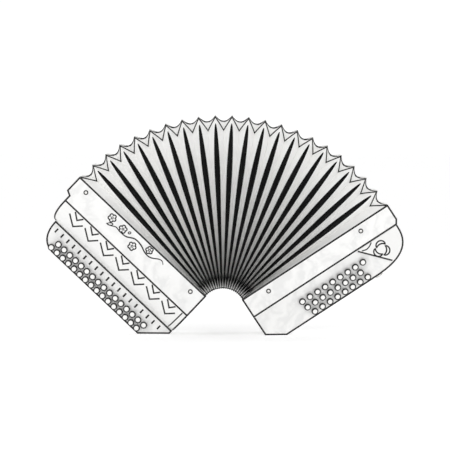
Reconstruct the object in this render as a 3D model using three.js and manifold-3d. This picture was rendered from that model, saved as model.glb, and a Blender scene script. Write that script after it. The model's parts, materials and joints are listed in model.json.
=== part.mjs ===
// A two-row button accordion standing on the cut corners of its two cases, with its bellows fanned open.
// Millimetres, +Z up. X runs from the treble side to the bass side, and -Y is the side the listener sees.
//
// Each case is drawn upright, with the bellows plane at x = 0 and the fan's centre at the origin,
// and is then turned about the fan's centre. In that upright frame:
//   n is the distance out from the bellows plane, so x = side * n,
//   y runs from the front (-) to the back (+),
//   z is the distance from the fan's centre.
import * as THREE from 'three';
import { mergeVertices } from 'three/addons/utils/BufferGeometryUtils.js';
import Module from 'manifold-3d';

const wasm = await Module();
wasm.setup();

// ---------------------------------------------------------------- driving dimensions
const GAP = 0.3; // between pieces that touch
const CASE_LENGTH = 340;
const CASE_DEPTH = 180;
const CASE_WALL = 8;
const HALF_DEPTH = CASE_DEPTH / 2;

// The fan
const INNER_RADIUS = 44; // from the fan's centre to the near end of each case
const OUTER_RADIUS = INNER_RADIUS + CASE_LENGTH;
const CENTRE_HEIGHT = 47; // of the fan's centre above the floor
const TREBLE_TILT = THREE.MathUtils.degToRad(46.5); // from upright, towards -X
const BASS_TILT = THREE.MathUtils.degToRad(56.9); // from upright, towards +X
const FAN_ANGLE = TREBLE_TILT + BASS_TILT;

// The bellows: ridges at whole numbers of pleats and valleys at the halves
const PLEATS = 21;
const FOLD_DEPTH = 24; // from a ridge in to a valley
const FOLD_WALL = 3; // how far the inside of the cloth lies in from the outside
const SECTION_ENDS = [0, 4.5, 7.5, 10.5, 13.5, 16.5, PLEATS]; // in pleats

// Parts that both cases have
const FRAME_WIDTH = 12; // of the wooden bellows frame's bars
const FRAME_REACH = 24; // how far the bellows frame goes into its case
const REED_BLOCK = { start: 6, inset: 35, chambers: 6, wall: 3 }; // start is n, inset is from the case's ends
const PIN = { n: 15, head: 4.2, headHeight: 2, shank: 1.6, length: 17, clear: 0.4 };

const KEYBOARD_N = 98; // where the treble cover ends and the keyboard starts
const TREBLE = {
  side: -1,
  tilt: TREBLE_TILT,
  caseReach: 55, // n of the case's outer edge
  corner: [37, 42], // n where the case's upper outer corner starts to fall, and where it has fallen by `drop`
  drop: 10, // the cover's upper edge lies this far under the case's end
  shoulders: [{ to: KEYBOARD_N, height: 14 }, { to: 150, height: 42 }], // rounded corners, from the case out
  power: 2.4, // of the superellipse that rounds them
  deck: [30, 36],
  pins: [354, 73],
};
const BASS = {
  side: 1,
  tilt: BASS_TILT,
  caseReach: 43,
  corner: [34, 43],
  drop: 6,
  shoulders: [{ to: 108, height: 101 }],
  power: 2.8,
  deck: [25, 31],
  pins: [312, 97],
};
const SHOULDER_STEPS = 14;
const reachOf = ({ shoulders }) => shoulders.at(-1).to; // n of the outermost face

// Treble cover and keyboard
const COVER_WALL = 3;
const KEYBOARD_FRONT = -22; // y of the keyboard's face where it leaves the cover
const KEYBOARD_SLOPE = 0.2; // how fast the face falls back with n
const KEYBOARD_BACK = 48;
const COVER_STEPS = 10;
const COVER_SPLIT = 13; // y where the grille meets the back cover

// Treble keys: a button, its lever and its pallet are one rigid piece that rocks on the axle
const KEYS_PER_ROW = 16;
const KEY_PITCH = 15.4;
const OUTER_ROW = { n: 142.5, first: 330, palletY: -64 };
const INNER_ROW = { n: 128.5, first: 323.7, palletY: -36 };
const BUTTON = { radius: 6.9, height: 4.6, clear: 4.6, taper: 0.9, sides: 12 };
const LEVER_THICK = 3;
const LEVER_HEIGHT = 5;
const LEVER_UNDER = 4.5; // from the keyboard's face down to the lever
const GROOVE = { width: 3.6, roof: 2.5, depth: 15, before: 4, past: 5.5 }; // roof and depth from the face
const SIGHT_SLOT = { from: 107, to: 116.5 }; // a short slot through which each of the outer row's levers shows
const PALLET = { width: 12, length: 18, thick: 4.8 };
const PORT = { halfLength: 6, halfWidth: 3.5 }; // the hole in the deck under each pallet
const AXLE = { n: 90, y: -5, radius: 1.5, clear: 0.45, from: 58, to: 352, sides: 8 };
const LUG = { n0: 82, y0: -12, y1: 2, thick: 6, lower: 62, upper: 342 };

// Bass cover and buttons
const BASS_WALL = 4;
const BASS_FRONT_DROP = 26; // how far the sloping front falls back over the cover's reach
const BASS_BACK_ROUND = 20;
const BASS_PITCH = 17.6;
const BASS_ROWS = [
  { name: 'bass_buttons_inner_row', n: 66.5, first: 282, count: 9 },
  { name: 'bass_buttons_middle_row', n: 81.5, first: 267, count: 8 },
  { name: 'bass_buttons_outer_row', n: 96.5, first: 274.5, count: 8 },
];
const BASS_BUTTON = { radius: 6.8, height: 4, clear: 3.8, taper: 0.9, sides: 12 };
const BASS_STEM = { radius: 2.5, hole: 3.3, sides: 6 };
const BASS_BAR = { width: 6, thick: 3.5, under: 0.8 };
const AIR = { y: 45, z: 296, cap: 8, capHeight: 4, clear: 5, stem: 2.5, hole: 3.4 };
const AIR_DISC = { radius: 12, thick: 4, port: 9 };
const PLATE = { thick: 1.2, corner: [[44, 283.3], [101, 334.7]], margin: 3 };

// ---------------------------------------------------------------- materials
const paint = (colour, roughness, metalness = 0) =>
  new THREE.MeshStandardMaterial({ color: colour, roughness, metalness });
const celluloid = paint(0xf1efe8, 0.25);
const enamel = paint(0xf4f3ef, 0.35);
const spruce = paint(0xd9bd8a, 0.7);
const beech = paint(0xc89d6a, 0.6);
const cloth = paint(0xefece2, 0.85);
const nickel = paint(0xc9c9c6, 0.25, 1);
const pearl = paint(0xfaf8f2, 0.2);

// ---------------------------------------------------------------- solids
// A closed three.js geometry as a manifold-3d solid.
function solidOf(geometry) {
  const bare = geometry.index ? geometry.toNonIndexed() : geometry.clone();
  bare.deleteAttribute('normal');
  bare.deleteAttribute('uv');
  const merged = mergeVertices(bare, 1e-4);
  return new wasm.Manifold(new wasm.Mesh({
    numProp: 3,
    vertProperties: merged.attributes.position.array,
    triVerts: new Uint32Array(merged.index.array),
  }));
}

function geometryOf(solid) {
  const { vertProperties, triVerts } = solid.getMesh();
  const geometry = new THREE.BufferGeometry();
  geometry.setAttribute('position', new THREE.BufferAttribute(vertProperties, 3));
  geometry.setIndex(new THREE.BufferAttribute(triVerts, 1));
  geometry.computeVertexNormals();
  return geometry;
}

function named(name, solid, material) {
  const mesh = new THREE.Mesh(geometryOf(solid), material);
  mesh.name = name;
  return mesh;
}

function box(side, [n0, n1], [y0, y1], [z0, z1]) {
  const geometry = new THREE.BoxGeometry(n1 - n0, y1 - y0, z1 - z0);
  geometry.translate((side * (n0 + n1)) / 2, (y0 + y1) / 2, (z0 + z1) / 2);
  return solidOf(geometry);
}

function shapeOf(points) {
  return new THREE.Shape(points.map(([a, b]) => new THREE.Vector2(a, b)));
}

// An outline of [n, y] points, drawn out along z.
function prismAlongZ(side, points, [z0, z1]) {
  const shape = shapeOf(points.map(([n, y]) => [side * n, y]));
  const geometry = new THREE.ExtrudeGeometry(shape, { depth: z1 - z0, bevelEnabled: false });
  geometry.translate(0, 0, z0);
  return solidOf(geometry);
}

// An outline of [n, z] points, drawn out along y.
function prismAlongY(side, points, [y0, y1]) {
  const shape = shapeOf(points.map(([n, z]) => [side * n, z]));
  const geometry = new THREE.ExtrudeGeometry(shape, { depth: y1 - y0, bevelEnabled: false });
  geometry.rotateX(Math.PI / 2).translate(0, y1, 0);
  return solidOf(geometry);
}

// A cylinder or cone whose foot is centred at `foot` and which rises along `direction`, both as x, y, z.
function rod(foot, direction, radius, length, sides, topRadius = radius) {
  const geometry = new THREE.CylinderGeometry(topRadius, radius, length, sides);
  geometry.translate(0, length / 2, 0);
  const turn = new THREE.Quaternion();
  turn.setFromUnitVectors(new THREE.Vector3(0, 1, 0), new THREE.Vector3(...direction).normalize());
  geometry.applyQuaternion(turn).translate(...foot);
  return solidOf(geometry);
}

const joined = (solids) => solids.reduce((whole, solid) => whole.add(solid));
const cut = (solid, holes) => holes.reduce((whole, hole) => whole.subtract(hole), solid);
const countFrom = (count) => [...Array(count).keys()];

// ---------------------------------------------------------------- what both cases have
const pinHole = (side, y, depth, z) => rod([side * PIN.n, y, z], [0, 1, 0], PIN.shank + PIN.clear, depth, 8);

// The case: four wooden walls, open towards the bellows and towards the cover. Beyond the deck its upper end
// falls to the cover's upper edge.
function caseSolid({ side, caseReach, corner, drop, deck, pins }) {
  const inner = HALF_DEPTH - CASE_WALL;
  const low = INNER_RADIUS + CASE_WALL;
  const high = OUTER_RADIUS - CASE_WALL;
  const outside = prismAlongY(side, [
    [GAP, INNER_RADIUS], [caseReach, INNER_RADIUS], [caseReach, OUTER_RADIUS - drop],
    ...(corner[1] < caseReach ? [[corner[1], OUTER_RADIUS - drop]] : []), [corner[0], OUTER_RADIUS],
    [GAP, OUTER_RADIUS],
  ], [-HALF_DEPTH, HALF_DEPTH]);
  const step = deck[1] + 2 * GAP;
  const inside = prismAlongY(side, [
    [-1, low], [caseReach + 1, low], [caseReach + 1, high - drop],
    [step, high - drop], [step, high], [-1, high],
  ], [-inner, inner]);
  const holes = pins.map((z) => pinHole(side, -HALF_DEPTH - 1, CASE_WALL + 2, z));
  return cut(outside, [inside, ...holes]);
}

// The wooden frame that the bellows is glued to. It plugs into the case and the pins hold it.
function bellowsFrameSolid({ side, pins }) {
  const out = CASE_WALL + GAP;
  const inn = out + FRAME_WIDTH;
  const bars = box(side, [GAP, FRAME_REACH], [out - HALF_DEPTH, HALF_DEPTH - out],
    [INNER_RADIUS + out, OUTER_RADIUS - out])
    .subtract(box(side, [-1, FRAME_REACH + 1], [inn - HALF_DEPTH, HALF_DEPTH - inn],
      [INNER_RADIUS + inn, OUTER_RADIUS - inn]));
  return cut(bars, pins.map((z) => pinHole(side, out - HALF_DEPTH - 1, PIN.length - CASE_WALL + 2, z)));
}

function pinSolid({ side }, z) {
  const seat = -HALF_DEPTH - GAP;
  const head = rod([side * PIN.n, seat, z], [0, -1, 0], PIN.head, PIN.headHeight, 12, PIN.head * 0.7);
  const shank = rod([side * PIN.n, seat - 1, z], [0, 1, 0], PIN.shank, PIN.length, 6);
  return head.add(shank);
}

// The thin board that carries the reeds on one side and the pallets on the other.
function deckSolid({ side, deck }, ports) {
  const inner = HALF_DEPTH - CASE_WALL - GAP;
  const board = box(side, deck, [-inner, inner],
    [INNER_RADIUS + CASE_WALL + GAP, OUTER_RADIUS - CASE_WALL - GAP]);
  return cut(board, ports);
}

// A comb of reed chambers that stands on the deck, inside the bellows.
function reedBlockSolid({ side, deck }, [y0, y1]) {
  const { start, inset, chambers, wall } = REED_BLOCK;
  const [z0, z1] = [INNER_RADIUS + inset, OUTER_RADIUS - inset];
  const block = box(side, [start, deck[0] - GAP], [y0, y1], [z0, z1]);
  const pitch = (z1 - z0) / chambers;
  const pockets = countFrom(chambers).map((i) => {
    const low = z0 + i * pitch;
    return box(side, [start - 1, deck[0] - 4], [y0 + wall, y1 - wall],
      [low + wall / 2, low + pitch - wall / 2]);
  });
  return cut(block, pockets);
}

// The front outline of a cover, as [n, z]: square to the case, cut level for the floor at its lower corner
// and rounded at its upper one, in one shoulder or two. `inset` moves every edge inwards.
function coverOutline(spec, from, inset) {
  const { caseReach, shoulders, drop, power, tilt } = spec;
  const foot = INNER_RADIUS + inset;
  const side = reachOf(spec) - inset;
  const floorStart = (CENTRE_HEIGHT + foot * Math.cos(tilt) - inset) / Math.sin(tilt);
  const floorEnd = (side * Math.sin(tilt) - CENTRE_HEIGHT + inset) / Math.cos(tilt);
  const corners = shoulders.map(({ to, height }, k) => {
    // each shoulder starts where the one before it ends
    const near = k ? shoulders[k - 1].to : caseReach;
    const base = OUTER_RADIUS - drop - shoulders.slice(0, k + 1).reduce((sum, one) => sum + one.height, 0);
    return countFrom(SHOULDER_STEPS + 1).map((i) => {
      const t = (Math.PI / 2) * (i / SHOULDER_STEPS);
      return [
        near + (to - inset - near) * Math.max(0, Math.cos(t)) ** (2 / power),
        base + (height - inset) * Math.sin(t) ** (2 / power),
      ];
    });
  });
  const floorCut = [[from, foot], [floorStart, foot], [side, floorEnd]];
  const points = [...floorCut, ...corners.reverse().flat(), [from, OUTER_RADIUS - drop - inset]];
  // the rounded corner may end just where the cover starts
  return points.filter(([n, z], i) => {
    const [m, w] = points[(i + 1) % points.length];
    return Math.hypot(n - m, z - w) > 0.5;
  });
}

// ---------------------------------------------------------------- treble side
const keyboardFace = (n) => KEYBOARD_FRONT + (n - KEYBOARD_N) * KEYBOARD_SLOPE;

// Half of the cover's section, as [n, y]: a quarter ellipse from the case's face to the keyboard's.
function coverCurve(atCase, atKeyboard, wall) {
  return countFrom(COVER_STEPS + 1).map((i) => {
    const t = (Math.PI / 2) * (i / COVER_STEPS);
    const fall = Math.abs(atCase - atKeyboard) - wall;
    return [
      TREBLE.caseReach + GAP + (KEYBOARD_N - TREBLE.caseReach - GAP - wall) * Math.sin(t),
      atKeyboard + Math.sign(atCase - atKeyboard) * fall * Math.cos(t),
    ];
  });
}

function trebleCoverSolid() {
  const front = coverCurve(-HALF_DEPTH, KEYBOARD_FRONT, 0);
  const back = coverCurve(HALF_DEPTH, KEYBOARD_BACK, 0).reverse();
  const frontInside = coverCurve(-HALF_DEPTH, KEYBOARD_FRONT, COVER_WALL);
  const backInside = coverCurve(HALF_DEPTH, KEYBOARD_BACK, COVER_WALL).reverse();
  const start = TREBLE.caseReach - 2;
  const past = KEYBOARD_N + 2;
  const span = [INNER_RADIUS - 5, OUTER_RADIUS + 5];
  const outside = prismAlongZ(-1, [...front, ...back], span)
    .intersect(prismAlongY(-1, coverOutline(TREBLE, start, 0), [-100, 100]));
  const inside = prismAlongZ(-1, [
    [start, COVER_WALL - HALF_DEPTH], ...frontInside, [past, KEYBOARD_FRONT],
    [past, KEYBOARD_BACK], ...backInside, [start, HALF_DEPTH - COVER_WALL],
  ], span).intersect(prismAlongY(-1, coverOutline(TREBLE, start - 1, COVER_WALL), [-100, 100]));
  return outside.subtract(inside);
}

function keyHeights(row) {
  return countFrom(KEYS_PER_ROW).map((i) => row.first - i * KEY_PITCH);
}

// The keys' axle, or the bore for it: `clear` wider all round and `longer` at each end.
function axleSolid(clear, longer) {
  const length = AXLE.to - AXLE.from + 2 * longer;
  return rod([-AXLE.n, AXLE.y, AXLE.from - longer], [0, 0, 1], AXLE.radius + clear, length, AXLE.sides);
}

// A slot in the keyboard for a lever at height z: `outer` and `inner` are its depths in from the face.
function keyboardSlot(z, [from, to], outer, inner) {
  const at = (n, depth) => [n, keyboardFace(n) + depth];
  const outline = [at(from, outer), at(to, outer), at(to, inner), at(from, inner)];
  return prismAlongZ(-1, outline, [z - GROOVE.width / 2, z + GROOVE.width / 2]);
}

// The keyboard: a block with a channel for each lever, openings to the face and two lugs for the axle.
function keyboardSolid() {
  const section = [
    [KEYBOARD_N + GAP, keyboardFace(KEYBOARD_N)], [reachOf(TREBLE), keyboardFace(reachOf(TREBLE))],
    [reachOf(TREBLE), KEYBOARD_BACK - 16], [reachOf(TREBLE) - 10, KEYBOARD_BACK - 4],
    [KEYBOARD_N + GAP, KEYBOARD_BACK],
  ];
  const block = prismAlongZ(-1, section, [INNER_RADIUS - 5, OUTER_RADIUS + 5])
    .intersect(prismAlongY(-1, coverOutline(TREBLE, TREBLE.caseReach - 2, 0), [-60, 60]));
  const grooves = [OUTER_ROW, INNER_ROW].flatMap((row) => keyHeights(row).flatMap((z) => [
    keyboardSlot(z, [KEYBOARD_N - 3, row.n + GROOVE.past], GROOVE.roof, GROOVE.depth),
    keyboardSlot(z, [row.n - GROOVE.before, row.n + GROOVE.past], -1, GROOVE.roof + 1),
  ]));
  const sights = keyHeights(OUTER_ROW).map((z) =>
    keyboardSlot(z, [SIGHT_SLOT.from, SIGHT_SLOT.to], -1, GROOVE.roof + 1));
  const lugs = [LUG.lower, LUG.upper].map((z) =>
    box(-1, [LUG.n0, KEYBOARD_N + 1], [LUG.y0, LUG.y1], [z, z + LUG.thick]));
  const bore = axleSolid(AXLE.clear, 5);
  return joined([cut(block, [...grooves, ...sights]), ...lugs]).subtract(bore);
}

function keySolid(row) {
  const face = keyboardFace(row.n);
  const tab = 3; // half the width of the post under the button
  const { n: pivotN, y: pivotY } = AXLE;
  const slot = AXLE.radius + GAP;
  const lever = [
    [row.n - tab, face - BUTTON.clear - 0.5],
    [row.n + tab, face - BUTTON.clear - 0.5],
    [row.n + tab, face + LEVER_UNDER + LEVER_HEIGHT],
    [KEYBOARD_N, KEYBOARD_FRONT + LEVER_UNDER + LEVER_HEIGHT],
    [pivotN + 5, pivotY + 7],
    [pivotN + slot, pivotY + 7],
    [pivotN + slot, pivotY - slot],
    [pivotN - slot, pivotY - slot],
    [pivotN - slot, pivotY + 7],
    [pivotN - 5, pivotY + 7],
    [50, row.palletY + 3],
    [40, row.palletY + 3],
    [40, row.palletY - 3],
    [50, row.palletY - 3],
    [pivotN - 4, pivotY - 7],
    [KEYBOARD_N, KEYBOARD_FRONT + LEVER_UNDER],
    [row.n - tab, face + LEVER_UNDER],
  ];
  const half = LEVER_THICK / 2;
  const lift = TREBLE.deck[1] + GAP + 0.1;
  const outward = [-KEYBOARD_SLOPE, -1, 0];
  const foot = [-row.n, face - BUTTON.clear, 0];
  return joined([
    prismAlongZ(-1, lever, [-half, half]),
    box(-1, [lift, lift + PALLET.thick], [row.palletY - PALLET.length / 2, row.palletY + PALLET.length / 2],
      [-PALLET.width / 2, PALLET.width / 2]),
    rod(foot, outward, BUTTON.radius, BUTTON.height, BUTTON.sides, BUTTON.radius * BUTTON.taper),
  ]);
}

function keyMeshes(row, rowName) {
  const geometry = geometryOf(keySolid(row));
  return keyHeights(row).map((z, i) => {
    const mesh = new THREE.Mesh(geometry, pearl);
    mesh.name = `treble_key_${rowName}_${String(i + 1).padStart(2, '0')}`;
    mesh.position.z = z;
    return mesh;
  });
}

function trebleGroup() {
  const cover = trebleCoverSolid();
  const halfSpace = (from, to) => box(-1, [-20, 200], [from, to], [0, 500]);
  const [deckIn, deckOut] = TREBLE.deck;
  const { halfLength, halfWidth } = PORT;
  const ports = [OUTER_ROW, INNER_ROW].flatMap((row) => keyHeights(row).map((z) =>
    box(-1, [deckIn - 1, deckOut + 1], [row.palletY - halfLength, row.palletY + halfLength],
      [z - halfWidth, z + halfWidth])));
  const group = new THREE.Group();
  group.add(
    named('treble_case', caseSolid(TREBLE), celluloid),
    named('treble_bellows_frame', bellowsFrameSolid(TREBLE), beech),
    named('treble_deck', deckSolid(TREBLE, ports), spruce),
    named('treble_reed_block', reedBlockSolid(TREBLE, [-60, 60]), beech),
    named('treble_grille', cover.intersect(halfSpace(-100, COVER_SPLIT - GAP / 2)), enamel),
    named('treble_back_cover', cover.intersect(halfSpace(COVER_SPLIT + GAP / 2, 100)), celluloid),
    named('treble_keyboard', keyboardSolid(), celluloid),
    named('treble_key_axle', axleSolid(0, 0), nickel),
    ...keyMeshes(OUTER_ROW, 'outer'),
    ...keyMeshes(INNER_ROW, 'inner'),
    ...TREBLE.pins.map((z, i) => named(`treble_pin_${['upper', 'lower'][i]}`, pinSolid(TREBLE, z), nickel)),
  );
  group.rotation.y = -TREBLE_TILT;
  return group;
}

// ---------------------------------------------------------------- bass side
// The sloping front of the bass cover, as a line in n and y with its outward normal.
const bassSlope = BASS_FRONT_DROP / (reachOf(BASS) - BASS.caseReach);
const bassFace = (n) => -HALF_DEPTH + (n - BASS.caseReach) * bassSlope;
const bassOut = new THREE.Vector3(bassSlope, -1, 0).normalize();

// A point on the bass front at distance n, moved `rise` out of the surface.
function onBassFront(n, rise, z) {
  return [n + bassOut.x * rise, bassFace(n) + bassOut.y * rise, z];
}

function bassSection(inset) {
  const slant = inset / Math.cos(Math.atan(bassSlope));
  const start = BASS.caseReach + (inset ? -2 : GAP);
  const far = reachOf(BASS) - inset;
  const back = HALF_DEPTH - inset;
  const round = BASS_BACK_ROUND - inset / 2;
  return [
    [start, bassFace(start) + slant], [far, bassFace(far) + slant],
    [far, back - round], [far - round * 0.3, back - round * 0.3], [far - round, back], [start, back],
  ];
}

function bassCoverSolid() {
  const span = [INNER_RADIUS - 5, OUTER_RADIUS + 5];
  const shell = prismAlongZ(1, bassSection(0), span)
    .intersect(prismAlongY(1, coverOutline(BASS, BASS.caseReach - 2, 0), [-100, 100]));
  const hollow = prismAlongZ(1, bassSection(BASS_WALL), span)
    .intersect(prismAlongY(1, coverOutline(BASS, BASS.caseReach - 3, BASS_WALL), [-100, 100]));
  const holes = BASS_ROWS.flatMap((row) => bassHeights(row).map((z) =>
    rod(onBassFront(row.n, -BASS_WALL - 2, z), bassOut.toArray(), BASS_STEM.hole, BASS_WALL + 4, 8)));
  const airHole = rod([reachOf(BASS) - BASS_WALL - 1, AIR.y, AIR.z], [1, 0, 0], AIR.hole, BASS_WALL + 2, 8);
  return cut(shell.subtract(hollow), [...holes, airHole]);
}

function bassHeights(row) {
  return countFrom(row.count).map((i) => row.first - i * BASS_PITCH);
}

// One row of bass buttons: the caps, their stems and the bar that joins them inside the cover.
function bassRowSolid(row) {
  const heights = bassHeights(row);
  const under = BASS_WALL + BASS_BAR.under;
  const out = bassOut.toArray();
  const length = heights[0] - heights.at(-1) + BASS_BAR.width;
  const bar = new THREE.BoxGeometry(BASS_BAR.width, BASS_BAR.thick, length);
  bar.rotateZ(Math.atan(bassSlope));
  bar.translate(...onBassFront(row.n, -under - BASS_BAR.thick / 2, (heights[0] + heights.at(-1)) / 2));
  const { radius, height, clear, taper, sides } = BASS_BUTTON;
  const pieces = heights.flatMap((z) => [
    rod(onBassFront(row.n, clear, z), out, radius, height, sides, radius * taper),
    rod(onBassFront(row.n, -under - 1, z), out, BASS_STEM.radius, under + 1.5 + clear, BASS_STEM.sides),
  ]);
  return joined([solidOf(bar), ...pieces]);
}

// The air valve: a thumb button on the end of the cover, with a disc that seals the port
// from the bellows side.
function airValveSolid() {
  const seat = BASS.deck[0] - GAP;
  const along = [1, 0, 0];
  return joined([
    rod([seat - AIR_DISC.thick, AIR.y, AIR.z], along, AIR_DISC.radius, AIR_DISC.thick, 16),
    rod([seat - 1, AIR.y, AIR.z], along, AIR.stem, reachOf(BASS) + AIR.clear - seat + 2, 8),
    rod([reachOf(BASS) + AIR.clear, AIR.y, AIR.z], along, AIR.cap, AIR.capHeight, 16, AIR.cap * 0.85),
  ]);
}

// The thin ornamental plate on the upper corner of the bass front.
function cornerPlateSolid() {
  const length = 90;
  const slab = new THREE.BoxGeometry(length, PLATE.thick, 2 * OUTER_RADIUS);
  slab.rotateZ(Math.atan(bassSlope));
  slab.translate(...onBassFront(BASS.caseReach + 35, GAP + PLATE.thick / 2, 0));
  const [low, high] = PLATE.corner;
  const above = prismAlongY(1, [low, high, [140, high[1]], [140, 420], [low[0], 420]], [-120, 0]);
  const outline = prismAlongY(1, coverOutline(BASS, BASS.caseReach - 2, PLATE.margin), [-120, 0]);
  return solidOf(slab).intersect(above).intersect(outline);
}

function bassGroup() {
  const [deckIn, deckOut] = BASS.deck;
  const port = rod([deckIn - 1, AIR.y, AIR.z], [1, 0, 0], AIR_DISC.port, deckOut - deckIn + 2, 12);
  const group = new THREE.Group();
  group.add(
    named('bass_case', caseSolid(BASS), celluloid),
    named('bass_bellows_frame', bellowsFrameSolid(BASS), beech),
    named('bass_deck', deckSolid(BASS, [port]), spruce),
    named('bass_reed_block', reedBlockSolid(BASS, [-60, 20]), beech),
    named('bass_cover', bassCoverSolid(), celluloid),
    named('bass_corner_plate', cornerPlateSolid(), enamel),
    ...BASS_ROWS.map((row) => named(row.name, bassRowSolid(row), pearl)),
    named('bass_air_valve', airValveSolid(), nickel),
    ...BASS.pins.map((z, i) => named(`bass_pin_${['upper', 'lower'][i]}`, pinSolid(BASS, z), nickel)),
  );
  group.rotation.y = BASS_TILT;
  return group;
}

// ---------------------------------------------------------------- bellows
// The four corners of the bellows' outline at a number of pleats from the treble side. `inset` shrinks it,
// and `shift` moves it along the fan, square to its plane.
function foldLoop(pleat, inset, shift) {
  const angle = -TREBLE_TILT + (pleat / PLEATS) * FAN_ANGLE;
  const depth = inset + (Number.isInteger(pleat) ? 0 : FOLD_DEPTH);
  const low = INNER_RADIUS + depth;
  const high = OUTER_RADIUS - depth;
  const half = HALF_DEPTH - depth;
  return [[low, -half], [low, half], [high, half], [high, -half]].map(([r, y]) => [
    r * Math.sin(angle) + shift * Math.cos(angle), y, r * Math.cos(angle) - shift * Math.sin(angle),
  ]);
}

// One hollow stretch of the bellows: its pleated outside, its pleated inside, and a rim at each end.
function bellowsSectionGeometry(from, to) {
  const steps = Math.round((to - from) * 2);
  const stations = countFrom(steps + 1).map((i) => from + i / 2);
  // a section keeps a full gap to a case, at a ridge, and half a gap to its neighbour, at a valley
  const gapAt = (i) => (Number.isInteger(stations[i]) ? GAP : GAP / 2);
  const shiftAt = (i) => (i === 0 ? gapAt(i) : 0) - (i === steps ? gapAt(i) : 0);
  const outside = stations.map((pleat, i) => foldLoop(pleat, 0, shiftAt(i)));
  const inside = stations.map((pleat, i) => foldLoop(pleat, FOLD_WALL, shiftAt(i)));
  // one closed ring of loops: out along the outside, back along the inside
  const loops = [...outside, ...inside.reverse()];
  const vertices = loops.flat(2);
  const faces = [];
  loops.forEach((_, i) => {
    const next = (i + 1) % loops.length;
    countFrom(4).forEach((corner) => {
      const other = (corner + 1) % 4;
      const [a, b, c, d] = [4 * i + corner, 4 * next + corner, 4 * next + other, 4 * i + other];
      // these quads are twisted, so the inside has to be split along the same diagonal as the outside
      faces.push(...(i < outside.length ? [a, c, b, a, d, c] : [a, d, b, b, d, c]));
    });
  });
  const geometry = new THREE.BufferGeometry();
  geometry.setAttribute('position', new THREE.Float32BufferAttribute(vertices, 3));
  geometry.setIndex(faces);
  geometry.computeVertexNormals();
  return geometry;
}

function bellowsMeshes() {
  return SECTION_ENDS.slice(1).map((end, i) => {
    const mesh = new THREE.Mesh(bellowsSectionGeometry(SECTION_ENDS[i], end), cloth);
    mesh.name = `bellows_section_${i + 1}`;
    return mesh;
  });
}

// ---------------------------------------------------------------- assembly
const accordion = new THREE.Group();
accordion.add(trebleGroup(), bassGroup(), ...bellowsMeshes());
accordion.position.z = CENTRE_HEIGHT;
accordion.updateMatrixWorld(true);

// The origin is the middle of the footprint of the whole instrument, on the floor.
const bounds = new THREE.Box3().setFromObject(accordion, true);
const middle = bounds.getCenter(new THREE.Vector3());
accordion.position.x -= middle.x;
accordion.position.y -= middle.y;
accordion.updateMatrixWorld(true);

export default accordion;
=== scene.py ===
"""A white two-row button accordion with black inlay, fanned open and standing on its two lower corners.

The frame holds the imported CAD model. This script gives the CAD nodes their materials and builds the bellows,
the keys, the bass buttons, the pins and the inlaid ornament around them. Lengths are in metres, but places,
widths and profiles on the cases are in millimetres.
"""
import json
import math

import bmesh
import bpy
import numpy as np
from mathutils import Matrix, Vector


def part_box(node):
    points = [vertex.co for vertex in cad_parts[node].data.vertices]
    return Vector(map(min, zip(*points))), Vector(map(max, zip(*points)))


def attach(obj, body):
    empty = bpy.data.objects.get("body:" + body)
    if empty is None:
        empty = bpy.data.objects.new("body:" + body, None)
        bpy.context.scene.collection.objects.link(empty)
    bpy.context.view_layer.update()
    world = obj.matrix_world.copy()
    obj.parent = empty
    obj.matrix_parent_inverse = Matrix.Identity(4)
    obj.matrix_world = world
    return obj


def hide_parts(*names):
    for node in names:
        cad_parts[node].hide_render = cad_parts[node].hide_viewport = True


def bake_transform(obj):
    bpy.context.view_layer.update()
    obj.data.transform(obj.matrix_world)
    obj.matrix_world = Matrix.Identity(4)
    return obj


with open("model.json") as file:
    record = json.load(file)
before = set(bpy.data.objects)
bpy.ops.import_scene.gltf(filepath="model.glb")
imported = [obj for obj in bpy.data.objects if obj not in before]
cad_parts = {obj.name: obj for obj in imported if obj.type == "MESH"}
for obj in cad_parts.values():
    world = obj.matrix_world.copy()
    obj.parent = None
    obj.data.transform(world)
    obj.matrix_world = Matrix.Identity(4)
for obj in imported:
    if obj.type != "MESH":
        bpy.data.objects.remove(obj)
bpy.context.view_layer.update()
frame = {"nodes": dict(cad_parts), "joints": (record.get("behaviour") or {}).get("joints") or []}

# -------- measures of the CAD model
MM = 0.001
PLEATS = 21
PLEATS_PER_BEND = 3
FOLD_DEPTH = 24 * MM
CASE_LENGTH = 340 * MM

JOINTS = {joint["name"]: joint for joint in frame["joints"]}
BENDS = [JOINTS[f"bellows_bend_{i + 1}"] for i in range(PLEATS // PLEATS_PER_BEND)]
FRONT = Vector((0, -1, 0))


def fan_circle():
    """The centre (x, z) and radius of the circle that the bends' pivots lie on."""
    a, b, c = (np.array(BENDS[i]["pos_m"])[[0, 2]] for i in (0, len(BENDS) // 2, -1))
    rows = np.array([b - a, c - a])
    centre = np.linalg.solve(2 * rows, [b @ b - a @ a, c @ c - a @ a])
    return centre, float(np.linalg.norm(a - centre))


(CENTRE_X, CENTRE_Z), INNER_RADIUS = fan_circle()
OUTER_RADIUS = INNER_RADIUS + CASE_LENGTH
MIDDLE_Y = BENDS[0]["pos_m"][1]
HALF_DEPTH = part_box("treble_case")[1][1] - MIDDLE_Y


def pivot_angle(bend):
    return math.atan2(bend["pos_m"][0] - CENTRE_X, bend["pos_m"][2] - CENTRE_Z)


BEND_ANGLE = pivot_angle(BENDS[1]) - pivot_angle(BENDS[0])
PLEAT_ANGLE = BEND_ANGLE / PLEATS_PER_BEND
TREBLE_ANGLE = pivot_angle(BENDS[0]) - BEND_ANGLE / 2  # from upright, towards +X
BASS_ANGLE = pivot_angle(BENDS[-1]) + BEND_ANGLE / 2


def fan(radius, angle, y):
    """A point of the fan, at that angle from upright. y is measured from the middle."""
    x, z = CENTRE_X + radius * math.sin(angle), CENTRE_Z + radius * math.cos(angle)
    return Vector((x, MIDDLE_Y + y, z))


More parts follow.
